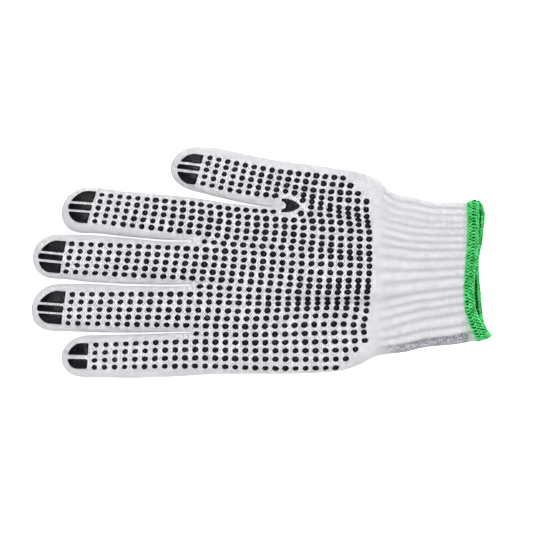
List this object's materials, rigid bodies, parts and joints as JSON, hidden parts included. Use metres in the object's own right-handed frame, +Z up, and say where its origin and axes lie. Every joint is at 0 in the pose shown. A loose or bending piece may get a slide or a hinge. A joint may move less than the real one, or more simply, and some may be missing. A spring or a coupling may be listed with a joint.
{
  "type": "dotted grip glove",
  "caption": "Seamless knitted work glove for the right hand, palm up, with printed grip pads and dots, a ribbed cuff and an overlocked wrist edge.",
  "frame": {"origin": "under the middle of the glove's box, on the surface that its back lies on", "axes": "+X from the fingers to the wrist opening, +Y towards the thumb, +Z up out of the palm"},
  "size_m": [0.2482, 0.125, 0.0151],
  "materials": {
    "cotton_knit": "fine seamless jersey knit of bleached cotton and polyester yarn, matt",
    "overlock_thread": "bright green textured polyester thread, overlocked",
    "pvc_print": "black soft vinyl print, satin"
  },
  "bodies": {
    "root": {"knit_shell": "cotton_knit", "overlock_hem": "overlock_thread", "thumb_crotch_patch": "pvc_print", "thumb_tip_pad_outer": "pvc_print", "thumb_tip_pad_centre": "pvc_print", "thumb_tip_pad_inner": "pvc_print", "index_tip_pad_outer": "pvc_print", "index_tip_pad_centre": "pvc_print", "index_tip_pad_inner": "pvc_print", "middle_tip_pad_outer": "pvc_print", "middle_tip_pad_centre": "pvc_print", "middle_tip_pad_inner": "pvc_print", "ring_tip_pad_outer": "pvc_print", "ring_tip_pad_centre": "pvc_print", "ring_tip_pad_inner": "pvc_print", "little_tip_pad_outer": "pvc_print", "little_tip_pad_inner": "pvc_print"}
  },
  "joints": []
}
